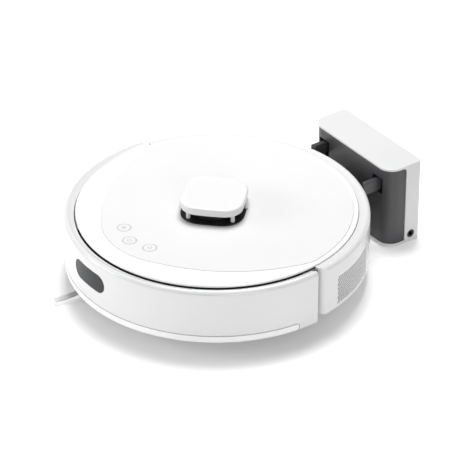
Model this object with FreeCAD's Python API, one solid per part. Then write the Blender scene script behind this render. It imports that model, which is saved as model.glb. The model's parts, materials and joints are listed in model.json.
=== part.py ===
import FreeCAD, Part
import math
import os

# Round robot vacuum cleaner parked on its charging dock.  Millimetres, +Z up.
# The parts are drawn about the robot's own centre on the floor: the robot's front is -Y,
# its left side is +X, and the dock stands behind it at +Y.  Bearings are plan angles in
# degrees from the front, positive towards +X.  At export everything is moved so that the
# origin is the centre of the whole object's footprint, on the floor.

V = FreeCAD.Vector
AXIS_X = V(1, 0, 0)
AXIS_Y = V(0, 1, 0)
AXIS_Z = V(0, 0, 1)

# robot body
BODY_R = 170.0
SKIN = 3.0
RIM_Z = 83.5
LID_Z = 84.0
LID_R = 157.0
LID_UNDER = 80.8
BASE_Z = 12.0
FLOOR_TOP = 14.6
WALL_R = 153.0
WALL_IN = 150.5
BUMPER_Z = 20.0
BUMPER_HALF = 94.5
SHELL_Z = 24.5
SHELL_START = 99.5
WINDOW_X = -2.0
WINDOW_Z = 57.1
WINDOW_HALF = 28.6
WINDOW_R = 11.5

# laser turret
TURRET_Y = -3.6
CAP_TOP = 104.6
CAP_Z = 95.6
CAP_HALF = 36.0
CAP_CORNER = 21.0
CAP_BOW = 2.6
PILLAR_R = 2.4
PILLAR_OUT = 35.0
PILLAR_BEARINGS = (0, 90, 144, 216, 270)
CAP_ROUND = 2.2
CAP_ROOF = 3.0
CAP_BORE_R = 29.0
UNDERCUT_HIGH = 4.2
UNDERCUT_DEEP = 0.9
WELL_R = 31.0
COLLAR_R = 30.8
COLLAR_BORE_R = 29.3
COLLAR_Z = 74.0
PLINTH_HALF = 36.0
PLINTH_CORNER = 24.0
PLATE_TOP = 84.5
PLATE_UNDER = 82.2
PLINTH_TOP = 85.5
ROTOR_R = 27.5
PULLEY_X = 48.0
BELT_Z = 77.4
BELT_TOP = 79.6

# buttons: x and y of the three caps
BUTTONS = {"button_spot": (-25.0, -107.0), "button_power": (0.0, -116.5), "button_home": (25.0, -107.0)}
BUTTON_R = 7.7
BOARD_Z = 64.0

# running gear
WHEEL_X = 124.0
WHEEL_R = 34.0
WHEEL_WIDTH = 18.0
PIVOT_Y = 48.0
PIVOT_Z = 42.0
ROLLER_Y = 12.0
ROLLER_Z = 24.0
ROLLER_R = 20.0
CASTER_Y = -118.0
CASTER_TRAIL = 6.0
CASTER_R = 12.5
BRUSH_X = -88.0
BRUSH_Y = -110.0
BRUSH_REACH = 88.0
RUN_GAP = 0.06

# dustbin and fan
BIN_HALF = 68.0
BIN_FRONT = 92.0
BIN_Z = 15.2
BIN_TOP = 56.4
FAN_X = 93.5
FAN_Y = 85.0
FAN_R = 21.5

# charging dock: it stands a little to the robot's left of the centre line
DOCK_X = 6.3
DOCK_HALF = 71.7
DOCK_FRONT = 180.0
DOCK_BACK = 228.0
DOCK_TOP = 103.5
DOCK_CORNER = 17.0
DOCK_BACK_CORNER = 6.0
DOCK_SKIN = 2.5
PANEL_INSET = 1.2
PANEL_BACK = 205.5
BASE_PLATE_TOP = 5.0
ARM_OFFSET = 49.5
ARM_HALF = 3.0
ARM_Z = 70.6
ARM_TOP = 86.2
JACK_Y = 214.2
JACK_Z = 11.2
JACK_R = 2.85
JACK_FACE_R = 5.0
MOUTH_HALF = 9.0


# ---------------------------------------------------------------- helpers
def box(x0, x1, y0, y1, z0, z1):
    return Part.makeBox(x1 - x0, y1 - y0, z1 - z0, V(x0, y0, z0))


def rod(radius, x, y, z0, z1):
    """Upright cylinder."""
    return Part.makeCylinder(radius, z1 - z0, V(x, y, z0), AXIS_Z)


def rod_x(radius, y, z, x0, x1):
    """Cylinder along X."""
    return Part.makeCylinder(radius, x1 - x0, V(x0, y, z), AXIS_X)


def ring(r_in, r_out, z0, z1, x=0.0, y=0.0):
    return rod(r_out, x, y, z0, z1).cut(rod(r_in, x, y, z0, z1))


def fuse_all(shapes):
    solid = shapes[0]
    for other in shapes[1:]:
        solid = solid.fuse(other)
    return solid.removeSplitter()


def turn(shape, degrees, x=0.0, y=0.0):
    shape.rotate(V(x, y, 0), AXIS_Z, degrees)
    return shape


def sector(start, end, z0, z1, radius=BODY_R + 20):
    """Solid pie slice between two bearings."""
    slice_ = Part.makeCylinder(radius, z1 - z0, V(0, 0, z0), AXIS_Z, end - start)
    return turn(slice_, start - 90)


def bearing_xy(radius, bearing):
    angle = math.radians(bearing)
    return radius * math.sin(angle), -radius * math.cos(angle)


def line(a, b):
    return Part.LineSegment(a, b).toShape()


def arc(a, through, b):
    return Part.Arc(a, through, b).toShape()


def polygon_face(points):
    return Part.Face(Part.makePolygon(points + [points[0]]))


def revolve_profile(points):
    """Full turn about Z of a closed outline given as (radius, height) pairs."""
    return polygon_face([V(r, 0, z) for r, z in points]).revolve(V(0, 0, 0), AXIS_Z, 360)


def rounded_block(x0, x1, y0, y1, z0, z1, radius):
    """Box with its upright edges rounded."""
    block = box(x0, x1, y0, y1, z0, z1)
    upright = [e for e in block.Edges if abs(e.tangentAt(e.FirstParameter).z) > 0.9]
    return block.makeFillet(radius, upright)


def rounded_square(half, corner, z0, z1):
    """Square with bowed sides and round corners about the turret axis, corners to front, rear and sides."""
    end = half - CAP_BOW
    corners = [V(end, -end, z0), V(end, end, z0), V(-end, end, z0), V(-end, -end, z0)]
    middles = [V(half, 0, z0), V(0, half, z0), V(-half, 0, z0), V(0, -half, z0)]
    sides = [arc(corners[i], middles[i], corners[(i + 1) % 4]) for i in range(4)]
    block = Part.Face(Part.Wire(sides)).extrude(V(0, 0, z1 - z0))
    upright = [e for e in block.Edges if abs(e.tangentAt(e.FirstParameter).z) > 0.9]
    block = block.makeFillet(corner, upright)
    turn(block, 45)
    block.translate(V(0, TURRET_Y, 0))
    return block


def edges_at(shape, z):
    """Edges of a shape that lie wholly at one height."""
    return [e for e in shape.Edges if abs(e.BoundBox.ZMin - z) < 1e-4 and abs(e.BoundBox.ZMax - z) < 1e-4]


# ---------------------------------------------------------------- outer shells
def rim_shell(bottom, start, end, lip_r, lip_z):
    """Upright outer wall with the rounded rim that slopes in to a lip beside the lid's edge."""
    lip = V(lip_r, 0, lip_z)
    valley = V(161.9, 0, 0.6 * lip_z + 0.4 * RIM_Z - 0.2)
    crest = V(165.5, 0, RIM_Z)
    shoulder = V(BODY_R, 0, RIM_Z - 4.5)
    inner = BODY_R - SKIN
    edges = [
        line(V(lip_r, 0, 78.9), lip),
        arc(lip, valley, crest),
        arc(crest, V(168.68, 0, RIM_Z - 1.32), shoulder),
        line(shoulder, V(BODY_R, 0, bottom)),
        line(V(BODY_R, 0, bottom), V(inner, 0, bottom)),
        line(V(inner, 0, bottom), V(inner, 0, 77.4)),
        line(V(inner, 0, 77.4), V(165.4, 0, 78.9)),
        line(V(165.4, 0, 78.9), V(lip_r, 0, 78.9)),
    ]
    face = Part.Face(Part.Wire(edges))
    shell = face.revolve(V(0, 0, 0), AXIS_Z, end - start)
    return turn(shell, start - 90)


def window_prism(gap, y0, y1):
    """Stadium-shaped block that cuts or fills the sensor window in the bumper's nose."""
    radius = WINDOW_R - gap
    reach = WINDOW_HALF - WINDOW_R
    bar = box(WINDOW_X - reach, WINDOW_X + reach, y0, y1, WINDOW_Z - radius, WINDOW_Z + radius)
    ends = [
        Part.makeCylinder(radius, y1 - y0, V(WINDOW_X + side * reach, y0, WINDOW_Z), AXIS_Y)
        for side in (-1, 1)
    ]
    return fuse_all([bar] + ends)


STRIP_HALF = BUMPER_HALF - 9.7
STRIP_IN = BODY_R - 1.8
STRIP_TOP = 27.2
GROOVE = 1.2
BUMPER_LIP_R = 158.6
BUMPER_LIP_Z = 80.2
REAR_LIP_R = 157.5
REAR_LIP_Z = 82.2


def strip_band(gap, outer_r):
    """Low band round the bumper's foot, with a half-round end at each side."""
    radius = (STRIP_TOP - BUMPER_Z) / 2
    middle_z = BUMPER_Z + radius
    band = ring(STRIP_IN, outer_r, BUMPER_Z - gap, STRIP_TOP + gap)
    band = band.common(sector(-STRIP_HALF, STRIP_HALF, 0, RIM_Z))
    for bearing in (-STRIP_HALF, STRIP_HALF):
        x, y = bearing_xy(1.0, bearing)
        end = Part.makeCylinder(radius + gap, BODY_R + 10, V(0, 0, middle_z), V(x, y, 0))
        band = band.fuse(end.common(ring(STRIP_IN, outer_r, 0, RIM_Z)))
    return band.removeSplitter()


def bumper_shell():
    shell = rim_shell(BUMPER_Z, -BUMPER_HALF, BUMPER_HALF, BUMPER_LIP_R, BUMPER_LIP_Z)
    shell = shell.cut(strip_band(GROOVE, BODY_R + 1))
    return shell.cut(window_prism(0.0, -BODY_R - 5, -BODY_R + 10))


def bumper_strip():
    return strip_band(0.0, BODY_R)


def sensor_window():
    pane = ring(BODY_R - SKIN + 0.4, BODY_R - 0.4, 40, 72)
    return pane.common(window_prism(0.15, -BODY_R - 5, -BODY_R + 10))


GRILLE_START = 104.5
GRILLE_END = 130.0
GRILLE_Z = 28.0
GRILLE_TOP = 64.0


END_R = 8.0
END_AXIS_R = BODY_R - END_R
TONGUE_R = END_AXIS_R
TONGUE_TOP = 77.0
TONGUE_SPAN = 8.0


def rear_shell():
    full_end = 360 - SHELL_START
    turn_in = math.degrees(END_R / BODY_R)
    shell = rim_shell(SHELL_Z, SHELL_START - turn_in, full_end + turn_in, REAR_LIP_R, REAR_LIP_Z)
    flange = ring(WALL_R, BODY_R - SKIN + 0.5, SHELL_Z, SHELL_Z + 2.5)
    flange = flange.common(sector(SHELL_START, full_end, SHELL_Z, SHELL_Z + 3))
    shell = shell.fuse(flange)
    # each end curls inwards, then runs on behind the end of the bumper
    for start, bearing in ((SHELL_START - turn_in - 1, SHELL_START), (full_end, full_end)):
        x, y = bearing_xy(END_AXIS_R, bearing)
        curl_zone = sector(start, start + turn_in + 1, 0, 120)
        outside = curl_zone.cut(rod(END_AXIS_R, 0, 0, -1, 121)).cut(rod(END_R, x, y, -1, 121))
        shell = shell.cut(outside)
        curl = ring(END_R - SKIN, END_R, SHELL_Z, 79.0, x, y).common(curl_zone)
        shell = shell.fuse(curl.cut(rod(END_AXIS_R - 0.5, 0, 0, 0, 120)))
    tongue = ring(TONGUE_R - SKIN, TONGUE_R, SHELL_Z, TONGUE_TOP)
    ledge = ring(WALL_R, TONGUE_R, TONGUE_TOP - 2, TONGUE_TOP)
    cheek = ring(TONGUE_R - SKIN, BODY_R - SKIN + 0.5, SHELL_Z, 79)
    cheek_span = 2
    for tongue_start, cheek_start in (
            (SHELL_START - TONGUE_SPAN, SHELL_START), (full_end - cheek_span, full_end - cheek_span)):
        tongue_zone = sector(tongue_start, tongue_start + TONGUE_SPAN + cheek_span, 0, 120)
        shell = shell.fuse(tongue.fuse(ledge).common(tongue_zone))
        shell = shell.fuse(cheek.common(sector(cheek_start, cheek_start + cheek_span, 0, 120)))
    shell = shell.cut(box(-BIN_HALF - 1, BIN_HALF + 1, 100, 180, SHELL_Z - 1, BIN_TOP + 0.6))
    shell = shell.cut(grille_block(0.0))
    for bearing in PAD_BEARINGS:
        shell = shell.cut(pad_block(bearing))
    return shell.removeSplitter()


def grille_block(gap):
    inset = math.degrees(gap / BODY_R)
    band = ring(BODY_R - SKIN - 1, BODY_R + 1, GRILLE_Z + gap, GRILLE_TOP - gap)
    return band.common(sector(GRILLE_START + inset, GRILLE_END - inset, GRILLE_Z, GRILLE_TOP))


def exhaust_grille():
    panel = ring(BODY_R - SKIN + 0.6, BODY_R - 0.3, GRILLE_Z + 0.1, GRILLE_TOP - 0.1)
    panel = panel.common(grille_block(0.1))
    slot_count = 8
    pitch = (GRILLE_TOP - GRILLE_Z) / (slot_count + 0.5)
    for row in range(slot_count):
        z0 = GRILLE_Z + pitch * (row + 0.5)
        slot = ring(BODY_R - SKIN, BODY_R + 1, z0, z0 + pitch / 2)
        panel = panel.cut(slot.common(sector(GRILLE_START + 1, GRILLE_END - 1, z0, z0 + pitch)))
    return panel


PAD_BEARINGS = (158.5, -170.0)
PAD_SPAN = 11.5
PAD_Z = 68.0
PAD_TOP = 78.5


def pad_block(bearing):
    band = ring(BODY_R - 0.8, BODY_R + 0.5, PAD_Z, PAD_TOP)
    return band.common(sector(bearing, bearing + PAD_SPAN, PAD_Z, PAD_TOP))


def charge_pads():
    """Two metal contact strips set into the rear shell, one each side of the centre line."""
    skin = rod(BODY_R, 0, 0, PAD_Z, PAD_TOP)
    return Part.makeCompound([pad_block(bearing).common(skin) for bearing in PAD_BEARINGS])


def plate_outline(scale, z0, z1):
    """Outline of the satin top plate: a blunt nose to the front and a round stern."""
    nose = V(0, -136, 0)
    corner = V(55, -117, 0)
    flank = V(124, -48, 0)
    hip = V(150, 20, 0)
    stern = V(0, 151.3, 0)

    def mirror(p):
        return V(-p.x, p.y, 0)

    edges = [
        arc(mirror(corner), nose, corner),
        arc(corner, flank, hip),
        arc(hip, stern, mirror(hip)),
        arc(mirror(hip), mirror(flank), mirror(corner)),
    ]
    face = Part.Face(Part.Wire(edges))
    face.scale(scale)
    face.translate(V(0, 0, z0))
    return face.extrude(V(0, 0, z1 - z0))


def top_holes(z0, z1):
    """The turret's well and the three button holes, which pass the lid and the plate."""
    holes = [rod(WELL_R, 0, TURRET_Y, z0, z1)]
    holes += [rod(BUTTON_R + 0.3, x, y, z0, z1) for x, y in BUTTONS.values()]
    return holes


def top_lid():
    disc = revolve_profile([
        (0, LID_UNDER), (155.6, LID_UNDER), (LID_R, LID_UNDER + 1.2),
        (LID_R, LID_Z - 1.0), (LID_R - 0.3, LID_Z - 0.35), (LID_R - 1.0, LID_Z), (0, LID_Z)])
    disc = disc.cut(plate_outline(1.0, PLATE_UNDER, LID_Z + 1))
    for hole in top_holes(LID_UNDER - 1, LID_Z + 1):
        disc = disc.cut(hole)
    return disc


def top_plate():
    plate = plate_outline(0.9985, PLATE_UNDER, PLATE_TOP)
    for hole in top_holes(PLATE_UNDER - 1, PLATE_TOP + 1):
        plate = plate.cut(hole)
    return plate


# ---------------------------------------------------------------- chassis
WELL_IN = 96.0
WELL_OUT = 138.0
WELL_FRONT = -39.0
WELL_BACK = 59.0
WELL_TOP = 70.5
WELL_WALL = 1.5
BAY_HALF_X = 88.5
BAY_HALF_Y = 21.5
BATTERY_BAY = (-6.0, 71.0, -91.5, -44.5)
SCREWS = [(side * x, y) for side in (-1, 1) for x, y in ((50, -126), (84, -62), (80, 75))]
CLIFF_BEARINGS = (-62, -14, 14, 62)


def chassis_base():
    base = revolve_profile([
        (0, BASE_Z), (149, BASE_Z), (156, BASE_Z + 4.5), (156, 18.5), (WALL_R, 18.5),
        (WALL_R, LID_UNDER), (WALL_IN, LID_UNDER), (WALL_IN, FLOOR_TOP), (0, FLOOR_TOP)])
    for side in (-1, 1):
        low, high = sorted((side * WELL_IN, side * WELL_OUT))
        base = base.fuse(box(low - WELL_WALL, high + WELL_WALL, WELL_FRONT - WELL_WALL,
                             WELL_BACK + WELL_WALL, BASE_Z + 1, WELL_TOP + WELL_WALL))
        base = base.cut(box(low, high, WELL_FRONT, WELL_BACK, BASE_Z - 1, WELL_TOP))
    base = base.fuse(rod(25.5, 0, CASTER_Y, BASE_Z, 33.5)).fuse(rod(7.5, 0, CASTER_Y, 33, 46))
    base = base.cut(rod(23.5, 0, CASTER_Y, BASE_Z - 1, 31.5))
    base = base.cut(rod(4.0 + RUN_GAP, 0, CASTER_Y, 30, 45))
    base = base.cut(box(-BAY_HALF_X, BAY_HALF_X, ROLLER_Y - BAY_HALF_Y, ROLLER_Y + BAY_HALF_Y,
                        BASE_Z - 1, FLOOR_TOP + 1))
    x0, x1, y0, y1 = BATTERY_BAY
    base = base.cut(box(x0, x1, y0, y1, BASE_Z - 1, FLOOR_TOP + 0.3))
    base = base.cut(rod(3.3, BRUSH_X, BRUSH_Y, BASE_Z - 1, FLOOR_TOP + 1))
    base = base.cut(box(-BIN_HALF - 0.6, BIN_HALF + 0.6, 100, 175, FLOOR_TOP, BIN_TOP + 0.5))
    base = base.cut(sector(109, 126, 33, 57).cut(rod(WALL_IN - 2, 0, 0, 30, 60)))
    for x, y in SCREWS:
        base = base.cut(rod(3.1, x, y, BASE_Z - 1, 14.0))
    for bearing in CLIFF_BEARINGS:
        base = base.cut(cliff_block(bearing, 0.1))
    for side in (-1, 1):
        base = base.cut(rod_x(3.0, PIVOT_Y, PIVOT_Z, side * 94 - 3, side * 94 + 3))
    return base.removeSplitter()


def cliff_block(bearing, gap):
    """Small rectangular floor-sensor window near the chassis's edge."""
    block = box(-9 - gap, 9 + gap, -147 - gap, -139 + gap, BASE_Z - 0.2, 14.0)
    return turn(block, bearing)


def cliff_sensors():
    return Part.makeCompound([cliff_block(bearing, 0.0) for bearing in CLIFF_BEARINGS])


def base_screws():
    screws = []
    for x, y in SCREWS:
        head = rod(3.0, x, y, BASE_Z + 0.2, 14.0)
        cross = box(x - 1.8, x + 1.8, y - 0.4, y + 0.4, BASE_Z, BASE_Z + 1.2)
        head = head.cut(cross).cut(turn(cross.copy(), 90, x, y))
        screws.append(head)
    return Part.makeCompound(screws)


def battery_cover():
    x0, x1, y0, y1 = BATTERY_BAY
    cover = rounded_block(x0 + 0.3, x1 - 0.3, y0 + 0.3, y1 - 0.3, BASE_Z, BASE_Z + 2.2, 2.0)
    grip = rod(9.0, (x0 + x1) / 2, y1 - 4, BASE_Z - 1, BASE_Z + 1.0)
    return cover.cut(grip)


def battery_pack():
    """Four cells, two by two, in one shrink wrap."""
    cell_r = 9.5
    x0 = -2.0
    y0 = -87.5
    z0 = 15.5
    pack = box(x0, x0 + 70, y0, y0 + 4 * cell_r, z0, z0 + 4 * cell_r)
    along = [e for e in pack.Edges if abs(e.tangentAt(e.FirstParameter).x) > 0.9]
    return pack.makeFillet(cell_r - 0.5, along)


def main_board():
    board = rounded_block(-60, 60, -128, -50, BOARD_Z, BOARD_Z + 1.6, 4.0)
    top = BOARD_Z + 1.6
    pieces = [board]
    for x, y in BUTTONS.values():
        pieces.append(box(x - 3, x + 3, y - 3, y + 3, top - 0.1, top + 3.6))
    for index in range(4):
        x = -44 + index * 24
        pieces.append(box(x, x + 12, -82, -68, top - 0.1, top + 1.5))
    pieces.append(box(-56, -46, -64, -54, top - 0.1, top + 6))
    return fuse_all(pieces)


def bumper_switches():
    """Two lever switches on the chassis wall, just inside the bumper."""
    switches = []
    for bearing in (-35, 35):
        body = box(-6, 6, -WALL_R - 4.5, -WALL_R - 0.4, 40, 52)
        lever = box(-5, 5, -WALL_R - 6.6, -WALL_R - 5.6, 44, 48)
        post = box(-5, -3.5, -WALL_R - 6, -WALL_R - 4, 44, 48)
        seat = box(-6, 6, -WALL_R - 0.5, -WALL_R + 0.2, 40, 52).cut(rod(WALL_R, 0, 0, 30, 60))
        switches.append(turn(fuse_all([body, lever, post, seat]), bearing))
    return Part.makeCompound(switches)


SPRING_BEARING = 22.0
SPRING_R = 21.3
SPRING_REACH = 166.6
SPRING_LEAF = 0.6
SPRING_Z = 58.0
SPRING_TOP = 66.0


def bumper_springs():
    """Two bowed leaf springs that push the bumper forward, standing on the chassis wall."""
    middle = SPRING_R - SPRING_REACH
    leaf = ring(SPRING_R - SPRING_LEAF, SPRING_R, SPRING_Z, SPRING_TOP, 0.0, middle)
    leaf = leaf.cut(rod(WALL_R + 0.1, 0, 0, 50, 70))
    return Part.makeCompound([turn(leaf.copy(), side * SPRING_BEARING) for side in (-1, 1)])


# ---------------------------------------------------------------- laser turret
def turret_base():
    """Low plinth on the top plate, with the collar that lines the turret's well."""
    plinth = rounded_square(PLINTH_HALF, PLINTH_CORNER, PLATE_TOP, PLINTH_TOP)
    collar = rod(COLLAR_R, 0, TURRET_Y, COLLAR_Z, PLATE_TOP + 0.2)
    base = plinth.fuse(collar).cut(rod(COLLAR_BORE_R, 0, TURRET_Y, COLLAR_Z - 1, PLINTH_TOP + 1))
    belt_gap = box(0, 40, TURRET_Y - WELL_R, TURRET_Y + WELL_R, BELT_Z - 1.0, LID_UNDER - 0.1)
    return base.cut(belt_gap).removeSplitter()


def turret_cap():
    """Hollow cap with an undercut wall, on five short pillars that stand on the plinth."""
    cap = rounded_square(CAP_HALF, CAP_CORNER, CAP_Z, CAP_TOP)
    cap = cap.makeFillet(CAP_ROUND, edges_at(cap, CAP_TOP))
    cap = cap.makeChamfer(UNDERCUT_HIGH, UNDERCUT_DEEP, edges_at(cap, CAP_Z))
    cap = cap.cut(rod(CAP_BORE_R, 0, TURRET_Y, CAP_Z - 1, CAP_TOP - CAP_ROOF))
    for bearing in PILLAR_BEARINGS:
        x, y = bearing_xy(PILLAR_OUT, bearing)
        cap = cap.fuse(rod(PILLAR_R, x, y + TURRET_Y, PLINTH_TOP, CAP_Z + CAP_ROOF))
    return cap.removeSplitter()


def lidar_deck():
    """Fixed deck under the turret, with the rotor's spindle and a shelf for the motor."""
    disc = rod(30.8, 0, TURRET_Y, 70.0, 74.0)
    shelf = rounded_block(20, 60, TURRET_Y - 11, TURRET_Y + 11, 70.0, 74.0, 4.0)
    spindle = rod(10.0, 0, TURRET_Y, 73.0, 85.0)
    deck = fuse_all([disc, shelf, spindle])
    return deck.cut(rod(7.3, PULLEY_X, TURRET_Y, 69, 75))


def lidar_motor():
    body = rod(7.2, PULLEY_X, TURRET_Y, 54.0, 74.5)
    return body.cut(rod(1.0 + RUN_GAP, PULLEY_X, TURRET_Y, 68, 75))


def lidar_pulley():
    wheel = rod(4.6, PULLEY_X, TURRET_Y, 76.4, 80.2)
    wheel = wheel.cut(ring(3.6, 6, BELT_Z - 0.3, BELT_TOP + 0.3, PULLEY_X, TURRET_Y))
    return wheel.fuse(rod(1.0, PULLEY_X, TURRET_Y, 69.0, 77.0)).removeSplitter()


def lidar_rotor():
    drum = rod(ROTOR_R, 0, TURRET_Y, 75.4, 96.0)
    drum = drum.cut(ring(26.0, ROTOR_R + 1, BELT_Z - 0.3, BELT_TOP + 0.3, 0, TURRET_Y))
    drum = drum.cut(rod(10.0 + RUN_GAP, 0, TURRET_Y, 75, 86.0))
    return drum.cut(lens_rods(2.55, ROTOR_R - 4, ROTOR_R + 2))


def lens_rods(radius, r0, r1):
    """The emitter's and the receiver's round windows in the side of the drum."""
    rods = []
    for x in (-7.0, 7.0):
        rods.append(Part.makeCylinder(radius, r1 - r0, V(x, TURRET_Y - r1, 88.4), AXIS_Y))
    return Part.makeCompound(rods)


def lidar_lens():
    drum = rod(ROTOR_R - 0.3, 0, TURRET_Y, 80, 96)
    rods = [r.common(drum) for r in lens_rods(2.5, ROTOR_R - 3.9, ROTOR_R + 1).Solids]
    return Part.makeCompound(rods)


def lidar_belt():
    """Flat belt round the drum's groove and the motor pulley."""
    def loop(big, small):
        distance = PULLEY_X
        lean = math.asin((big - small) / distance)
        edges = []
        points = []
        for side in (1, -1):
            along, across = math.sin(lean), side * math.cos(lean)
            points.append((V(big * along, big * across, 0), V(distance + small * along, small * across, 0)))
        (big_top, small_top), (big_low, small_low) = points
        edges.append(line(big_top, small_top))
        edges.append(arc(small_top, V(distance + small, 0, 0), small_low))
        edges.append(line(small_low, big_low))
        edges.append(arc(big_low, V(-big, 0, 0), big_top))
        face = Part.Face(Part.Wire(edges))
        face.translate(V(0, TURRET_Y, BELT_Z))
        return face.extrude(V(0, 0, BELT_TOP - BELT_Z))

    thickness = 0.7
    return loop(26.3 + thickness, 3.9 + thickness).cut(loop(26.3, 3.9))


def button(x, y):
    cap = rod(BUTTON_R, x, y, 80.0, PLATE_TOP + 0.3)
    cap = cap.makeFillet(0.5, edges_at(cap, PLATE_TOP + 0.3))
    flange = rod(9.4, x, y, 78.8, LID_UNDER - 0.2)
    stem = rod(1.6, x, y, BOARD_Z + 6.1, 79.0)
    return fuse_all([cap, flange, stem])


# ---------------------------------------------------------------- running gear
def wheel_arm(side):
    """Gearbox arm that carries a drive wheel, hinged on a pin at its rear end, with its motor on top."""
    x0, x1 = sorted((side * 98.0, side * 112.0))
    wide, narrow = 15.0, 8.0
    reach = math.hypot(PIVOT_Y, PIVOT_Z - WHEEL_R)
    lean = math.degrees(math.atan2(PIVOT_Z - WHEEL_R, PIVOT_Y))
    web = box(x0, x1, 0, reach, -narrow, narrow)
    web.rotate(V(0, 0, 0), AXIS_X, lean)
    web.translate(V(0, 0, WHEEL_R))
    arm = fuse_all([web, rod_x(wide, 0, WHEEL_R, x0, x1), rod_x(narrow, PIVOT_Y, PIVOT_Z, x0, x1)])
    motor = Part.makeCylinder(7.0, 34.0, V((x0 + x1) / 2, -14, WHEEL_R + 21.5), AXIS_Y)
    saddle = box(x0 + 3, x1 - 3, -8, 12, WHEEL_R + 8, WHEEL_R + 20)
    arm = arm.fuse(saddle).fuse(motor)
    arm = arm.cut(rod_x(3.0 + RUN_GAP, PIVOT_Y, PIVOT_Z, x0 - 1, x1 + 1))
    return arm.cut(rod_x(4.0 + RUN_GAP, 0, WHEEL_R, x0 - 1, x1 + 1)).removeSplitter()


def suspension_pins():
    pins = []
    for side in (-1, 1):
        x0, x1 = sorted((side * 91.2, side * 115.0))
        pins.append(rod_x(3.0, PIVOT_Y, PIVOT_Z, x0, x1))
    return Part.makeCompound(pins)


def wheel_hub(side):
    x0 = WHEEL_X - WHEEL_WIDTH / 2
    x1 = WHEEL_X + WHEEL_WIDTH / 2
    hub = rod_x(29.5, 0, WHEEL_R, x0 + 1, x1 - 1)
    hub = hub.cut(rod_x(25.0, 0, WHEEL_R, x1 - 4, x1))
    hub = hub.fuse(rod_x(9.0, 0, WHEEL_R, x1 - 5, x1 - 1.5))
    spokes = 5
    for index in range(spokes):
        rib = box(x1 - 5, x1 - 2, -2, 2, WHEEL_R, WHEEL_R + 26)
        rib.rotate(V(0, 0, WHEEL_R), AXIS_X, index * 360.0 / spokes)
        hub = hub.fuse(rib)
    hub = hub.fuse(rod_x(4.0, 0, WHEEL_R, 99.0, x0 + 2)).removeSplitter()
    if side < 0:
        hub.rotate(V(0, 0, WHEEL_R), AXIS_Z, 180)
    return hub


def tyre(side):
    x0 = WHEEL_X - WHEEL_WIDTH / 2
    x1 = WHEEL_X + WHEEL_WIDTH / 2
    band = rod_x(WHEEL_R, 0, WHEEL_R, x0, x1).cut(rod_x(29.5, 0, WHEEL_R, x0 - 1, x1 + 1))
    lugs = 24
    for index in range(lugs):
        notch = box(x0 - 1, x1 + 1, -1.2, 1.2, 2 * WHEEL_R - 2.0, 2 * WHEEL_R + 2)
        notch.rotate(V(0, 0, WHEEL_R), AXIS_X, (index + 0.5) * 360.0 / lugs)
        band = band.cut(notch)
    if side < 0:
        band.rotate(V(0, 0, WHEEL_R), AXIS_Z, 180)
    return band


def caster_fork():
    axle_y = CASTER_Y + CASTER_TRAIL
    disc = rod(20.5, 0, CASTER_Y, 26.6, 29.8)
    stem = rod(4.0, 0, CASTER_Y, 29, 44.0)
    fork = disc.fuse(stem)
    for side in (-1, 1):
        x0, x1 = sorted((side * 7.6, side * 10.6))
        fork = fork.fuse(box(x0, x1, axle_y - 5, axle_y + 5, CASTER_R, 27))
        fork = fork.fuse(rod_x(5.0, axle_y, CASTER_R, x0, x1))
    return fork.cut(rod_x(2.0, axle_y, CASTER_R, -11, 11)).removeSplitter()


def caster_axle():
    return rod_x(2.0, CASTER_Y + CASTER_TRAIL, CASTER_R, -10.4, 10.4)


def caster_wheel():
    axle_y = CASTER_Y + CASTER_TRAIL
    wheel = rod_x(CASTER_R, axle_y, CASTER_R, -7.0, 7.0)
    wheel = wheel.makeFillet(1.5, [e for e in wheel.Edges if e.Length > 40])
    return wheel.cut(rod_x(2.0 + RUN_GAP, axle_y, CASTER_R, -8, 8))


def side_brush_hub():
    hub = rod(10.0, BRUSH_X, BRUSH_Y, 5.0, 11.2)
    hub = hub.makeFillet(1.5, edges_at(hub, 5.0))
    hub = hub.fuse(rod(3.0, BRUSH_X, BRUSH_Y, 11.0, 30.0))
    for index in range(2):
        socket = box(BRUSH_X + 8, BRUSH_X + 26, BRUSH_Y - 3.6, BRUSH_Y + 3.6, 5.0, 8.6)
        hub = hub.fuse(turn(socket, BRUSH_LEAN + index * 180, BRUSH_X, BRUSH_Y))
    return hub.removeSplitter()


BRUSH_LEAN = -30.0


def side_brush_bristles():
    """Two flat tufts of bristles that trail behind the hub's turning."""
    tufts = []
    root = 26.0
    for index in range(2):
        outer = [V(root, 3.4, 0), V(62, -16, 0), V(BRUSH_REACH - 12, -46, 0)]
        inner = [V(BRUSH_REACH - 22, -52, 0), V(54, -25, 0), V(root, -3.4, 0)]
        edges = [arc(*outer), line(outer[2], inner[0]), arc(*inner), line(inner[2], outer[0])]
        tuft = Part.Face(Part.Wire(edges)).extrude(V(0, 0, 3.0))
        tuft.translate(V(BRUSH_X, BRUSH_Y, 4.4))
        tufts.append(turn(tuft, BRUSH_LEAN + index * 180, BRUSH_X, BRUSH_Y))
    return Part.makeCompound(tufts)


def side_brush_motor():
    body = rod(9.0, BRUSH_X, BRUSH_Y, FLOOR_TOP, 46.0)
    case = box(BRUSH_X - 4, BRUSH_X + 26, BRUSH_Y - 4, BRUSH_Y + 20, FLOOR_TOP, 30.0)
    motor = body.fuse(case).cut(rod(3.0 + RUN_GAP, BRUSH_X, BRUSH_Y, FLOOR_TOP - 1, 31.0))
    return motor.removeSplitter()


HOUSING_IN = 23.0
HOUSING_OUT = 25.5
HOUSING_HALF = 92.0


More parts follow.
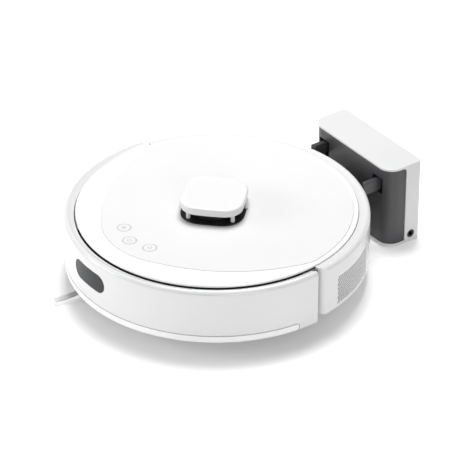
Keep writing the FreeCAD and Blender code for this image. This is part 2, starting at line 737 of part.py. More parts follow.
def brush_housing():
    """Tunnel over the main roller, with its end walls and the duct back to the dustbin."""
    shell = rod_x(HOUSING_OUT, ROLLER_Y, ROLLER_Z, -HOUSING_HALF, HOUSING_HALF)
    duct = box(-35, 35, ROLLER_Y + 10, BIN_FRONT - 0.5, 28, 46)
    shell = shell.fuse(duct)
    shell = shell.cut(rod_x(HOUSING_IN, ROLLER_Y, ROLLER_Z, -HOUSING_HALF + 3.5, HOUSING_HALF - 3.5))
    shell = shell.cut(box(-33, 33, ROLLER_Y, BIN_FRONT, 30, 44))
    shell = shell.cut(box(-100, 100, ROLLER_Y - 30, ROLLER_Y + 30, -10, FLOOR_TOP))
    return shell.cut(rod_x(3.0 + RUN_GAP, ROLLER_Y, ROLLER_Z, -100, 100)).removeSplitter()


def brush_guard():
    """Clip-in frame round the roller's mouth, with thin ribs that pass under the roller."""
    half_y = BAY_HALF_Y - 0.3
    frame = box(-BAY_HALF_X + 0.3, BAY_HALF_X - 0.3, ROLLER_Y - half_y, ROLLER_Y + half_y, 11.0, 14.2)
    frame = frame.cut(box(-83, 83, ROLLER_Y - 18.2, ROLLER_Y + 18.2, 10, 15))
    for x in (-54, -18, 18, 54):
        rib = rod_x(22.2, ROLLER_Y, ROLLER_Z, x - 1, x + 1)
        rib = rib.cut(rod_x(20.7, ROLLER_Y, ROLLER_Z, x - 2, x + 2))
        rib = rib.common(box(x - 2, x + 2, ROLLER_Y - 30, ROLLER_Y + 30, 0, 13.6))
        frame = frame.fuse(rib)
    return frame.removeSplitter()


def roller_core():
    core = rod_x(11.0, ROLLER_Y, ROLLER_Z, -82, 82)
    return core.fuse(rod_x(3.0, ROLLER_Y, ROLLER_Z, -91.5, 91.5)).removeSplitter()


def roller_blades():
    """Six straight blades round the core; bristle rows alternate with rubber ones."""
    blades = []
    for index in range(6):
        blade = box(-80, 80, ROLLER_Y - 1.2, ROLLER_Y + 1.2, ROLLER_Z + 11.0, ROLLER_Z + ROLLER_R)
        blade.rotate(V(0, ROLLER_Y, ROLLER_Z), AXIS_X, index * 60)
        blades.append(blade)
    sleeve = rod_x(12.0, ROLLER_Y, ROLLER_Z, -80, 80).cut(rod_x(11.0, ROLLER_Y, ROLLER_Z, -81, 81))
    return fuse_all([sleeve] + blades)


def brush_gearmotor():
    can = rod_x(10.5, ROLLER_Y + 2, 62.0, -80, -38)
    case = rounded_block(-91, -79, ROLLER_Y - 8, ROLLER_Y + 16, 50.5, 74.0, 3.0)
    foot = box(-88, -82, ROLLER_Y - 4, ROLLER_Y + 8, 48.4, 51).cut(
        rod_x(HOUSING_OUT, ROLLER_Y, ROLLER_Z, -100, 0))
    return fuse_all([can, case, foot])


# ---------------------------------------------------------------- dustbin and fan
def dustbin_block(inset, z0, z1):
    """The bin's outer form: square to the front, with a rear face flush with the body."""
    block = box(-BIN_HALF + inset, BIN_HALF - inset, BIN_FRONT + inset, 180, z0, z1)
    return block.common(rod(BODY_R - inset, 0, 0, z0, z1))


def dustbin_tub():
    wall = 2.2
    tub = dustbin_block(0.0, BIN_Z, BIN_TOP - 2.0)
    tub = tub.cut(box(-100, 100, 100, 180, BIN_Z - 1, SHELL_Z).cut(rod(WALL_R - 1, 0, 0, 0, 60)))
    hollow = dustbin_block(wall, BIN_Z + wall, BIN_TOP)
    hollow = hollow.common(rod(WALL_R - 4, 0, 0, BIN_Z, BIN_TOP + 1))
    tub = tub.cut(hollow)
    tub = tub.cut(box(-33, 33, BIN_FRONT - 1, BIN_FRONT + 5, 30, 44))
    tub = tub.cut(box(BIN_HALF - 5, BIN_HALF + 1, 98, 124, 22, 50))
    grip = box(-26, 26, 158, 180, 27, 41)
    tub = tub.cut(grip)
    tub = tub.cut(box(-14.3, 14.3, 158.4, 180, 43.7, 52.3))
    return tub.removeSplitter()


def dustbin_lid():
    return dustbin_block(0.0, BIN_TOP - 2.0, BIN_TOP)


def dustbin_filter():
    frame = box(BIN_HALF - 7.2, BIN_HALF - 2.3, 96.5, 125.5, 20.5, 51.5)
    pleats = 7
    step = 26.0 / pleats
    for index in range(pleats):
        y0 = 98 + step * (index + 0.25)
        frame = frame.cut(box(BIN_HALF - 8, BIN_HALF - 3.6, y0, y0 + step / 2, 22.5, 49.5))
    return frame


def dustbin_latch():
    """Press-in release button in the bin's rear face."""
    key = box(-14, 14, 161.5, 180, 44, 52).common(rod(BODY_R - 0.2, 0, 0, 40, 60))
    upright = [e for e in key.Edges if abs(e.tangentAt(e.FirstParameter).y) > 0.9 and e.Length > 5]
    return key.makeFillet(2.0, upright)


def fan_housing():
    body = rod(FAN_R, FAN_X, FAN_Y, 16.0, 62.0)
    exhaust = turn(box(FAN_X, FAN_X + 70, FAN_Y - 14, FAN_Y + 14, 34, 56), 25, FAN_X, FAN_Y)
    exhaust = exhaust.common(rod(WALL_IN - 0.2, 0, 0, 30, 60))
    intake = box(BIN_HALF + 1.2, FAN_X - 10, 96, 106, 22, 36)
    body = body.fuse(exhaust).fuse(intake)
    body = body.cut(rod(FAN_R - 1.8, FAN_X, FAN_Y, 40.0, 60.0))
    body = body.cut(turn(box(FAN_X, FAN_X + 75, FAN_Y - 12, FAN_Y + 12, 41, 54), 25, FAN_X, FAN_Y))
    body = body.cut(box(BIN_HALF, FAN_X - 8, 97.5, 104.5, 23.5, 34.5))
    body = body.cut(rod(5.0, FAN_X - 9, FAN_Y + 14, 23.5, 41))
    return body.cut(rod(2.0 + RUN_GAP, FAN_X, FAN_Y, 30, 41)).removeSplitter()


def fan_impeller():
    hub = rod(6.0, FAN_X, FAN_Y, 42.0, 57.0).fuse(rod(17.5, FAN_X, FAN_Y, 42.0, 44.0))
    hub = hub.fuse(rod(2.0, FAN_X, FAN_Y, 31.0, 43.0))
    vanes = 9
    for index in range(vanes):
        vane = box(FAN_X + 5, FAN_X + 17, FAN_Y - 0.6, FAN_Y + 0.6, 43.5, 56.0)
        hub = hub.fuse(turn(vane, index * 360.0 / vanes, FAN_X, FAN_Y))
    return hub.removeSplitter()


# ---------------------------------------------------------------- charging dock
def dock_prism(inset, z0, z1):
    """Upright block with the dock's plan: large round front corners and small rear ones."""
    x0 = DOCK_X - DOCK_HALF + inset
    x1 = DOCK_X + DOCK_HALF - inset
    block = box(x0, x1, DOCK_FRONT + inset, DOCK_BACK - inset, z0, z1)

    def upright(front):
        found = []
        for e in block.Edges:
            if abs(e.tangentAt(e.FirstParameter).z) > 0.9 and (e.BoundBox.YMin < 200) == front:
                found.append(e)
        return found

    block = block.makeFillet(DOCK_CORNER - inset, upright(True))
    return block.makeFillet(DOCK_BACK_CORNER - inset, upright(False))


def panel_region(gap):
    """The front part of the dock that the dark panel fills, with rounded upper corners."""
    top = DOCK_TOP - DOCK_SKIN - gap
    radius = 5.0 - gap
    block = box(DOCK_X - 80, DOCK_X + 80, DOCK_FRONT - 5, PANEL_BACK - gap, BASE_PLATE_TOP, top)
    corner = [e for e in block.Edges
              if abs(e.BoundBox.YMin - (PANEL_BACK - gap)) < 1e-4 and abs(e.BoundBox.ZMin - top) < 1e-4]
    return block.makeFillet(radius, corner)


def dock_shell():
    shell = dock_prism(0.0, BASE_PLATE_TOP, DOCK_TOP)
    shell = shell.makeFillet(1.2, edges_at(shell, DOCK_TOP))
    shell = shell.cut(dock_prism(DOCK_SKIN, BASE_PLATE_TOP - 1, DOCK_TOP - DOCK_SKIN))
    shell = shell.cut(panel_region(0.0))
    end = DOCK_X + DOCK_HALF
    return shell.cut(rod_x(JACK_FACE_R + 0.1, JACK_Y, JACK_Z, end - 5, end + 1)).removeSplitter()


def dock_panel():
    wall = 1.3
    panel = dock_prism(PANEL_INSET, BASE_PLATE_TOP, DOCK_TOP - DOCK_SKIN)
    panel = panel.cut(dock_prism(PANEL_INSET + DOCK_SKIN, BASE_PLATE_TOP - 1, DOCK_TOP))
    panel = panel.common(panel_region(0.2))
    for side in (-1, 1):
        middle = DOCK_X + side * ARM_OFFSET
        pocket = box(middle - MOUTH_HALF - wall, middle + MOUTH_HALF + wall, DOCK_FRONT + PANEL_INSET + 1,
                     212, ARM_Z - 2 - wall, ARM_TOP + 2 + wall)
        panel = panel.fuse(pocket)
    for side in (-1, 1):
        middle = DOCK_X + side * ARM_OFFSET
        panel = panel.cut(rounded_mouth(middle))
    return panel.removeSplitter()


def rounded_mouth(middle):
    """Opening that a contact arm slides in."""
    mouth = box(middle - MOUTH_HALF, middle + MOUTH_HALF, DOCK_FRONT - 1, 212 - 1.3, ARM_Z - 2, ARM_TOP + 2)
    along = [e for e in mouth.Edges if abs(e.tangentAt(e.FirstParameter).y) > 0.9]
    return mouth.makeFillet(2.0, along)


def dock_base():
    plate = dock_prism(0.0, 1.0, BASE_PLATE_TOP)
    plate = plate.makeFillet(0.8, edges_at(plate, 1.0))
    for x, y in dock_feet_places():
        plate = plate.cut(rod(6.0, x, y, 0, 2.2))
    return plate


def dock_feet_places():
    return [(DOCK_X + side * 52.0, y) for side in (-1, 1) for y in (DOCK_FRONT + 12, DOCK_BACK - 12)]


def dock_feet():
    feet = []
    for x, y in dock_feet_places():
        foot = rod(6.0, x, y, 0, 2.2)
        feet.append(foot.makeFillet(0.5, edges_at(foot, 0.0)))
    return Part.makeCompound(feet)


def dock_jack():
    """Round power inlet in the dock's left end."""
    end = DOCK_X + DOCK_HALF
    jack = rod_x(JACK_FACE_R, JACK_Y, JACK_Z, end - 14, end - 0.4)
    jack = jack.fuse(rod_x(5.8, JACK_Y, JACK_Z, end - 14, end - DOCK_SKIN - 0.1))
    return jack.cut(rod_x(JACK_R, JACK_Y, JACK_Z, end - 11, end + 1)).removeSplitter()


def dock_arm(side):
    middle = DOCK_X + side * ARM_OFFSET
    arm = box(middle - ARM_HALF, middle + ARM_HALF, 150, 205, ARM_Z, ARM_TOP)
    along = [e for e in arm.Edges if abs(e.tangentAt(e.FirstParameter).y) > 0.9]
    arm = arm.makeFillet(1.2, along)
    arm = arm.cut(rod(BODY_R + 1.0, 0, 0, 60, 100))
    return arm.cut(contact_strip(side))


def contact_strip(side):
    """Metal contact let into the tip of a dock arm."""
    middle = DOCK_X + side * ARM_OFFSET
    strip = ring(BODY_R + 0.4, BODY_R + 2.0, ARM_Z + 0.8, 79.5)
    return strip.common(box(middle - ARM_HALF + 1, middle + ARM_HALF - 1, 150, 180, ARM_Z, 80))


# ---------------------------------------------------------------- export
def make_parts():
    parts = {
        "chassis_base": chassis_base(),
        "rear_shell": rear_shell(),
        "exhaust_grille": exhaust_grille(),
        "top_lid": top_lid(),
        "top_plate": top_plate(),
        "turret_base": turret_base(),
        "turret_cap": turret_cap(),
        "lidar_deck": lidar_deck(),
        "lidar_motor": lidar_motor(),
        "lidar_belt": lidar_belt(),
        "lidar_pulley": lidar_pulley(),
        "lidar_rotor": lidar_rotor(),
        "lidar_lens": lidar_lens(),
        "main_board": main_board(),
        "battery_pack": battery_pack(),
        "battery_cover": battery_cover(),
        "base_screws": base_screws(),
        "cliff_sensors": cliff_sensors(),
        "charge_pads": charge_pads(),
        "bumper_shell": bumper_shell(),
        "bumper_strip": bumper_strip(),
        "sensor_window": sensor_window(),
        "bumper_switches": bumper_switches(),
        "bumper_springs": bumper_springs(),
        "suspension_pins": suspension_pins(),
        "brush_housing": brush_housing(),
        "brush_guard": brush_guard(),
        "brush_gearmotor": brush_gearmotor(),
        "roller_core": roller_core(),
        "roller_blades": roller_blades(),
        "side_brush_hub": side_brush_hub(),
        "side_brush_bristles": side_brush_bristles(),
        "side_brush_motor": side_brush_motor(),
        "caster_fork": caster_fork(),
        "caster_axle": caster_axle(),
        "caster_wheel": caster_wheel(),
        "dustbin_tub": dustbin_tub(),
        "dustbin_lid": dustbin_lid(),
        "dustbin_filter": dustbin_filter(),
        "dustbin_latch": dustbin_latch(),
        "fan_housing": fan_housing(),
        "fan_impeller": fan_impeller(),
        "dock_shell": dock_shell(),
        "dock_panel": dock_panel(),
        "dock_base": dock_base(),
        "dock_feet": dock_feet(),
        "dock_jack": dock_jack(),
    }
    for name, (x, y) in BUTTONS.items():
        parts[name] = button(x, y)
    for side, word in ((1, "left"), (-1, "right")):
        parts["wheel_arm_" + word] = wheel_arm(side)
        parts["wheel_hub_" + word] = wheel_hub(side)
        parts["tyre_" + word] = tyre(side)
        parts["dock_arm_" + word] = dock_arm(side)
        parts["dock_contact_" + word] = contact_strip(side)
    return parts


def whole_box(parts):
    bounds = FreeCAD.BoundBox()
    for shape in parts.values():
        bounds.add(shape.optimalBoundingBox(False))
    return bounds


def main():
    os.makedirs("parts", exist_ok=True)
    parts = make_parts()
    bounds = whole_box(parts)
    shift = V(-bounds.Center.x, -bounds.Center.y, -bounds.ZMin)
    print("whole box", bounds)
    print("shift", shift)
    for name, shape in parts.items():
        if not shape.isValid():
            print("not valid:", name)
        print(f"{name}: {len(shape.Solids)} solids, {shape.Volume / 1000:.2f} cm3")
        shape.translate(shift)
        shape.exportStep("parts/" + name + ".step")


main()
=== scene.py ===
import json
import math
import random

import bmesh
import bpy
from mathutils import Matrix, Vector


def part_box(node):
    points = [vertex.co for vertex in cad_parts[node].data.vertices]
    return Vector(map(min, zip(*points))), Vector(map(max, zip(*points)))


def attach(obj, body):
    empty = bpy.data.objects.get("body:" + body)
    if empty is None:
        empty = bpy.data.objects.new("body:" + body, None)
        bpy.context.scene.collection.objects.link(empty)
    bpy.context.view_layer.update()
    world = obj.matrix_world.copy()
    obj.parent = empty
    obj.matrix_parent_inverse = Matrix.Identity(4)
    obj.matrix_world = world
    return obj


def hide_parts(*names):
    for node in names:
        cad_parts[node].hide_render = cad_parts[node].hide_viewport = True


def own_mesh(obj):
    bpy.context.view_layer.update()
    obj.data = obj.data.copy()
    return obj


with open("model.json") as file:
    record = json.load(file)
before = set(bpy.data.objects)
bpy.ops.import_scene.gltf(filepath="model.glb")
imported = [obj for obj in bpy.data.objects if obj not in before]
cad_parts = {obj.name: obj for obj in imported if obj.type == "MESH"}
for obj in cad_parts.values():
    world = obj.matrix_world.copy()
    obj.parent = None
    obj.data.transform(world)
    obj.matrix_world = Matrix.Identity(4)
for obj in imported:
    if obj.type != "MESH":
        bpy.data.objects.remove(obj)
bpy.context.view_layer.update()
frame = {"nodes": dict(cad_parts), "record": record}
nodes = frame["nodes"]
random.seed(7)

MM = 0.001
SLOT_OF = {part["node"]: part["material_slot"] for part in frame["record"]["subparts"]}


def centre_of(node):
    low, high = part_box(node)
    return (low + high) / 2


ROBOT = Vector((centre_of("top_lid").x, centre_of("top_lid").y, 0.0))


# ---------------------------------------------------------------- camera, light and floor
IMAGE_SIDE = 471
SENSOR_WIDTH = 36.0
FOCAL_PIXELS = 3000
VIEW_AZIMUTH = math.radians(54.41)
VIEW_ELEVATION = math.radians(32.62)
VIEW_DISTANCE = 3.366
AIM_RIGHT = 0.0205
AIM_UP = 0.03995

# a soft light above and a little behind, and two low fills in front:
# name, place in metres, width of the square and watts
LIGHTS = (
    ("overhead", (-0.30, 0.27, 1.5), 0.7, 26.0),
    ("left", (-1.0, -1.7, 0.55), 1.0, 19.0),
    ("right", (2.0, -0.6, 0.7), 1.0, 13.0),
)
WORLD_STRENGTH = 0.20
FLOOR_SIDE = 12.0
FLOOR_DROP = 0.0002
FLOOR_GLOW = 0.22


def make_camera():
    a, e = VIEW_AZIMUTH, VIEW_ELEVATION
    back = Vector((math.sin(a) * math.cos(e), -math.cos(a) * math.cos(e), math.sin(e)))
    right = Vector((math.cos(a), math.sin(a), 0.0))
    up = back.cross(right)
    data = bpy.data.cameras.new("camera")
    data.sensor_width = SENSOR_WIDTH
    data.lens = FOCAL_PIXELS / IMAGE_SIDE * data.sensor_width
    data.clip_end = 20.0
    camera = bpy.data.objects.new("camera", data)
    bpy.context.scene.collection.objects.link(camera)
    camera.rotation_mode = "QUATERNION"
    camera.location = ROBOT + right * AIM_RIGHT + up * AIM_UP + back * VIEW_DISTANCE
    camera.rotation_quaternion = (-back).to_track_quat("-Z", "Y")
    bpy.context.scene.camera = camera


def area_light(name, place, size, power):
    data = bpy.data.lights.new(name, "AREA")
    data.shape = "SQUARE"
    data.size = size
    data.energy = power
    light = bpy.data.objects.new(name, data)
    light.location = place
    light.rotation_mode = "QUATERNION"
    light.rotation_quaternion = (ROBOT - Vector(place)).to_track_quat("-Z", "Y")
    bpy.context.scene.collection.objects.link(light)


def make_studio():
    world = bpy.data.worlds.new("studio")
    bpy.context.scene.world = world
    world.use_nodes = True
    background = world.node_tree.nodes["Background"]
    background.inputs["Color"].default_value = (1.0, 1.0, 1.0, 1.0)
    background.inputs["Strength"].default_value = WORLD_STRENGTH
    for name, place, size, power in LIGHTS:
        area_light(name, place, size, power)
    bpy.context.scene.view_settings.view_transform = "Standard"

    bpy.ops.mesh.primitive_plane_add(size=FLOOR_SIDE, location=(0, 0, -FLOOR_DROP))
    floor = bpy.context.object
    floor.name = "studio_floor"
    floor.data.materials.append(floor_material())


# ---------------------------------------------------------------- materials
def new_material(name):
    material = bpy.data.materials.new(name)
    material.use_nodes = True
    tree = material.node_tree
    shader = tree.nodes["Principled BSDF"]
    return material, tree, shader


def noise(tree, scale, detail=2.0):
    """A noise factor in the object's own space."""
    place = tree.nodes.new("ShaderNodeTexCoord")
    texture = tree.nodes.new("ShaderNodeTexNoise")
    texture.inputs["Scale"].default_value = scale
    texture.inputs["Detail"].default_value = detail
    tree.links.new(place.outputs["Object"], texture.inputs["Vector"])
    return texture.outputs["Fac"]


def spread(tree, factor, low, high):
    """Maps a noise factor onto a range of values."""
    node = tree.nodes.new("ShaderNodeMapRange")
    node.inputs["From Min"].default_value = 0.3
    node.inputs["From Max"].default_value = 0.7
    node.inputs["To Min"].default_value = low
    node.inputs["To Max"].default_value = high
    tree.links.new(factor, node.inputs["Value"])
    return node.outputs["Result"]


def tint(tree, factor, dark, light):
    """Blends two near colours by a noise factor."""
    ramp = tree.nodes.new("ShaderNodeValToRGB")
    ramp.color_ramp.elements[0].position = 0.35
    ramp.color_ramp.elements[1].position = 0.65
    ramp.color_ramp.elements[0].color = (*dark, 1.0)
    ramp.color_ramp.elements[1].color = (*light, 1.0)
    tree.links.new(factor, ramp.inputs["Fac"])
    return ramp.outputs["Color"]


def bump(tree, shader, height, strength, distance):
    """Adds a fine surface grain to a shader's normal."""
    node = tree.nodes.new("ShaderNodeBump")
    node.inputs["Strength"].default_value = strength
    node.inputs["Distance"].default_value = distance
    tree.links.new(height, node.inputs["Height"])
    tree.links.new(node.outputs["Normal"], shader.inputs["Normal"])


def moulded(name, colour, roughness, grain=1800.0, depth=0.00002, strength=0.25, coat=0.0,
            vary=0.03, specular=0.5):
    """Moulded plastic: a faint cloudy tint, uneven roughness and a fine mould grain."""
    material, tree, shader = new_material(name)
    cloud = noise(tree, 14.0, 3.0)
    dark = tuple(c * (1.0 - vary) for c in colour)
    light = tuple(min(1.0, c * (1.0 + vary)) for c in colour)
    tree.links.new(tint(tree, cloud, dark, light), shader.inputs["Base Color"])
    patch = noise(tree, 60.0, 4.0)
    uneven = spread(tree, patch, roughness * 0.88, roughness * 1.12)
    tree.links.new(uneven, shader.inputs["Roughness"])
    bump(tree, shader, noise(tree, grain, 2.0), strength, depth)
    shader.inputs["IOR"].default_value = 1.5
    shader.inputs["Specular IOR Level"].default_value = specular
    shader.inputs["Coat Weight"].default_value = coat
    shader.inputs["Coat Roughness"].default_value = 0.06
    return material


def metal(name, colour, roughness, grain=500.0):
    """Bare metal with uneven roughness."""
    material, tree, shader = new_material(name)
    patch = noise(tree, grain, 3.0)
    uneven = spread(tree, patch, roughness * 0.7, roughness * 1.3)
    tree.links.new(uneven, shader.inputs["Roughness"])
    dark = tuple(c * 0.9 for c in colour)
    tree.links.new(tint(tree, noise(tree, 90.0), dark, colour), shader.inputs["Base Color"])
    shader.inputs["Metallic"].default_value = 1.0
    bump(tree, shader, noise(tree, grain * 2), 0.15, 0.00001)
    return material


def floor_material():
    """Matt white paint with a faint glow, so that the floor stays pale."""
    material, tree, shader = new_material("floor_paint")
    tree.links.new(tint(tree, noise(tree, 3.0), (0.97, 0.97, 0.97), (0.99, 0.99, 0.99)),
                   shader.inputs["Base Color"])
    shader.inputs["Roughness"].default_value = 0.9
    shader.inputs["Emission Color"].default_value = (1.0, 1.0, 1.0, 1.0)
    shader.inputs["Emission Strength"].default_value = FLOOR_GLOW
    return material


MATERIALS = {
    "white_gloss": moulded("white_gloss", (0.82, 0.82, 0.82),
                           0.12, strength=0.04, coat=0.4, vary=0.006),
    "white_satin": moulded("white_satin", (0.70, 0.70, 0.703), 0.34, strength=0.12, vary=0.006),
    "white_shell": moulded("white_shell", (0.68, 0.68, 0.683),
                           0.24, strength=0.06, coat=0.15, vary=0.008),
    "soft_strip": moulded("soft_strip", (0.82, 0.82, 0.825), 0.5, strength=0.3),
    "grey_plastic": moulded("grey_plastic", (0.34, 0.35, 0.36), 0.42),
    "dark_plastic": moulded("dark_plastic", (0.028, 0.028, 0.030), 0.5, strength=0.5),
    "black_plastic": moulded("black_plastic", (0.012, 0.012, 0.013), 0.35),
    "rubber": moulded("rubber", (0.020, 0.020, 0.021), 0.75, grain=900.0, strength=0.6),
    "brush_rubber": moulded("brush_rubber", (0.05, 0.055, 0.065), 0.6),
    "bristle": moulded("bristle", (0.93, 0.93, 0.93), 0.5),
    "steel": metal("steel", (0.60, 0.60, 0.61), 0.28),
    "contact_metal": metal("contact_metal", (0.78, 0.72, 0.62), 0.2),
    "smoked_lens": moulded("smoked_lens", (0.034, 0.035, 0.038),
                           0.25, strength=0.02, specular=0.12),
    "clear_smoke": moulded("clear_smoke", (0.10, 0.105, 0.115), 0.12, strength=0.02, coat=0.5),
    "filter_paper": moulded("filter_paper", (0.78, 0.78, 0.74), 0.9, grain=700.0, strength=0.8),
    "circuit_board": moulded("circuit_board", (0.012, 0.10, 0.035), 0.35),
    "battery_wrap": moulded("battery_wrap", (0.02, 0.06, 0.25), 0.3),
    "dock_white": moulded("dock_white", (0.62, 0.62, 0.624), 0.4, strength=0.2, vary=0.01),
    "dock_dark": moulded("dock_dark", (0.045, 0.045, 0.048), 0.38, strength=0.2),
    "print_grey": moulded("print_grey", (0.42, 0.42, 0.43), 0.6),
}


def dress_cad():
    """Gives every CAD node the finish of its slot in the record."""
    for name, obj in nodes.items():
        obj.data.materials.clear()
        obj.data.materials.append(MATERIALS[SLOT_OF[name]])


# ---------------------------------------------------------------- new pieces
def at(x, y, z):
    """A point given in millimetres from the middle of the robot's floor print."""
    return ROBOT + Vector((x, y, z)) * MM


def round_point(radius, bearing, z):
    """A point on a cylinder about the robot's axis; the bearing is in degrees from straight ahead."""
    angle = math.radians(bearing)
    return at(radius * math.sin(angle), -radius * math.cos(angle), z)


def finish_piece(name, mesh, body, material, cad=(), smooth=True):
    """Turns a bmesh into a named piece that rides on a CAD body."""
    data = bpy.data.meshes.new(name)
    mesh.to_mesh(data)
    mesh.free()
    for face in data.polygons:
        face.use_smooth = smooth
    obj = bpy.data.objects.new(name, data)
    bpy.context.scene.collection.objects.link(obj)
    data.materials.append(MATERIALS[material])
    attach(obj, body)
    if cad:
        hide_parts(*cad)
    return obj


def strand(mesh, points, radii, sides=4):
    """A thin tapering rod through a few points."""
    rings = []
    for index, point in enumerate(points):
        ahead = points[min(index + 1, len(points) - 1)] - points[max(index - 1, 0)]
        ahead.normalize()
        across = ahead.orthogonal().normalized()
        up = ahead.cross(across)
        ring = []
        for k in range(sides):
            angle = 2 * math.pi * k / sides
            outward = across * math.cos(angle) + up * math.sin(angle)
            ring.append(mesh.verts.new(point + outward * radii[index]))
        rings.append(ring)
    for low, high in zip(rings, rings[1:]):
        for k in range(sides):
            mesh.faces.new((low[k], low[(k + 1) % sides], high[(k + 1) % sides], high[k]))
    mesh.faces.new(rings[0][::-1])
    mesh.faces.new(rings[-1])


GRILLE_BEARINGS = (104.6, 129.9)
GRILLE_HEIGHTS = (28.15, 63.85)
GRILLE_OUT = 169.7
GRILLE_DEPTH = 1.3
GRILLE_MARGIN = (0.35, 1.0)
# gap between the exhaust's panel and the black sheet of painted shade behind its holes
SHADE_SHEET_GAP = 0.1
HOLE_COLUMNS = 25
HOLE_ROWS = 12
HOLE_SHARE = 0.46
CELL_CORNERS = ((-1, -1), (0, -1), (1, -1), (1, 0), (1, 1), (0, 1), (-1, 1), (-1, 0))


def exhaust_mesh():
    """The exhaust's panel with staggered rows of small round holes."""
    mesh = bmesh.new()
    start, end = GRILLE_BEARINGS
    low, high = GRILLE_HEIGHTS
    margin_b, margin_z = GRILLE_MARGIN
    step_b = (end - start - 2 * margin_b) / HOLE_COLUMNS
    step_z = (high - low - 2 * margin_z) / HOLE_ROWS
    hole_b, hole_z = step_b * HOLE_SHARE, step_z * HOLE_SHARE
    made = {}

    def vert(bearing, z, radius=GRILLE_OUT):
        key = (round(bearing, 4), round(z, 3), radius)
        if key not in made:
            made[key] = mesh.verts.new(round_point(radius, bearing, z))
        return made[key]

    for row in range(HOLE_ROWS):
        shift = 0.5 * (row % 2)
        z = low + margin_z + step_z * (row + 0.5)
        for column in range(HOLE_COLUMNS - (row % 2)):
            bearing = start + margin_b + step_b * (column + 0.5 + shift)
            rim, lip, deep = [], [], []
            for u, v in CELL_CORNERS:
                rim.append(vert(bearing + u * step_b / 2, z + v * step_z / 2))
                angle = math.atan2(v, u)
                hb, hz = bearing + hole_b * math.cos(angle), z + hole_z * math.sin(angle)
                lip.append(vert(hb, hz))
                deep.append(vert(hb, hz, GRILLE_OUT - GRILLE_DEPTH))
            for k in range(len(CELL_CORNERS)):
                n = (k + 1) % len(CELL_CORNERS)
                mesh.faces.new((rim[k], rim[n], lip[n], lip[k]))
                mesh.faces.new((lip[k], lip[n], deep[n], deep[k]))
        if row % 2:
            for edge in (start + margin_b, end - margin_b - step_b / 2):
                z0, z1 = z - step_z / 2, z + step_z / 2
                mesh.faces.new((vert(edge, z0), vert(edge + step_b / 2, z0),
                                vert(edge + step_b / 2, z1), vert(edge, z1)))
    steps = HOLE_COLUMNS * 2
    inner = (start + margin_b, end - margin_b)
    for k in range(steps):
        b0 = inner[0] + (inner[1] - inner[0]) * k / steps
        b1 = inner[0] + (inner[1] - inner[0]) * (k + 1) / steps
        for z0, z1 in ((low, low + margin_z), (high - margin_z, high)):
            mesh.faces.new((vert(b0, z0), vert(b1, z0), vert(b1, z1), vert(b0, z1)))
    for b0, b1 in ((start, inner[0]), (inner[1], end)):
        mesh.faces.new((vert(b0, low), vert(b1, low), vert(b1, high), vert(b0, high)))
    finish_piece("exhaust_mesh", mesh, "chassis", "white_shell", ("exhaust_grille",), smooth=False)


def exhaust_shade_sheet():
    """A black sheet just behind the exhaust's holes: painted shade that makes the holes look dark inside."""
    start, end = GRILLE_BEARINGS
    low, high = GRILLE_HEIGHTS
    shade_sheet = bmesh.new()
    columns = 24
    radius = GRILLE_OUT - GRILLE_DEPTH - SHADE_SHEET_GAP
    feet = []
    for k in range(columns + 1):
        bearing = start + (end - start) * k / columns
        feet.append((shade_sheet.verts.new(round_point(radius, bearing, low)),
                     shade_sheet.verts.new(round_point(radius, bearing, high))))
    for (a, b), (c, d) in zip(feet, feet[1:]):
        shade_sheet.faces.new((a, c, d, b))
    finish_piece("exhaust_shade_sheet", shade_sheet, "chassis", "black_plastic")


BRUSH_CENTRE = (-88.0, -110.0)
BRUSH_LEAN = -30.0
TUFT_LAYERS = 3
TUFT_STRANDS = 40
TUFT_JOINTS = 8
TUFT_ROOT = 24.0
# the tuft's middle line, along and across its socket, as a t + b t t for t from root to tip
TUFT_ALONG = (62.0, -14.5)
TUFT_ACROSS = (-2.0, -45.5)
TUFT_HALF = (2.9, 1.0)
TUFT_TOP = 7.0
LAYER_STEP = 1.0
TIP_DROP = (1.3, 0.35)
STRAND_R = (0.28, 0.08)


def tuft_point(arm_lean, w, wave, layer, t):
    """A point on one strand: w is its place across the tuft and t its share of the length."""
    along = TUFT_ROOT + TUFT_ALONG[0] * t + TUFT_ALONG[1] * t * t
    across = TUFT_ACROSS[0] * t + TUFT_ACROSS[1] * t * t
    slope = math.atan2(TUFT_ACROSS[0] + 2 * TUFT_ACROSS[1] * t, TUFT_ALONG[0] + 2 * TUFT_ALONG[1] * t)
    half = TUFT_HALF[0] + TUFT_HALF[1] * t
    x = along - math.sin(slope) * (w * half + wave * t)
    y = across + math.cos(slope) * (w * half + wave * t)
    z = TUFT_TOP - LAYER_STEP * layer + (TIP_DROP[1] * layer - TIP_DROP[0]) * t
    c, s = math.cos(arm_lean), math.sin(arm_lean)
    return at(BRUSH_CENTRE[0] + x * c - y * s, BRUSH_CENTRE[1] + x * s + y * c, z)


def side_brush_tufts():
    """Two flat fans of nylon strands that trail behind the side brush's turning."""
    mesh = bmesh.new()
    for arm in range(2):
        lean = math.radians(BRUSH_LEAN + 180 * arm)
        for layer in range(TUFT_LAYERS):
            for k in range(TUFT_STRANDS):
                w = 2 * (k + 0.5 * (layer % 2) + 0.25) / TUFT_STRANDS - 1
                wave = random.uniform(-0.25, 0.25)
                length = random.uniform(0.955, 0.985)
                shares = [index / (TUFT_JOINTS - 1) * length for index in range(TUFT_JOINTS)]
                points = [tuft_point(lean, w, wave, layer, t) for t in shares]
                strand(mesh, points, [MM * (STRAND_R[0] - STRAND_R[1] * t) for t in shares])
    finish_piece("side_brush_tufts", mesh, "side_brush", "bristle", ("side_brush_bristles",))


ROLLER_AXIS = (12.0, 24.0)
ROW_HALF = 79.0
ROW_COUNT = 3
CHEVRON_TRAIL = 50.0
FIN_START = 30
BRISTLE_START = 90
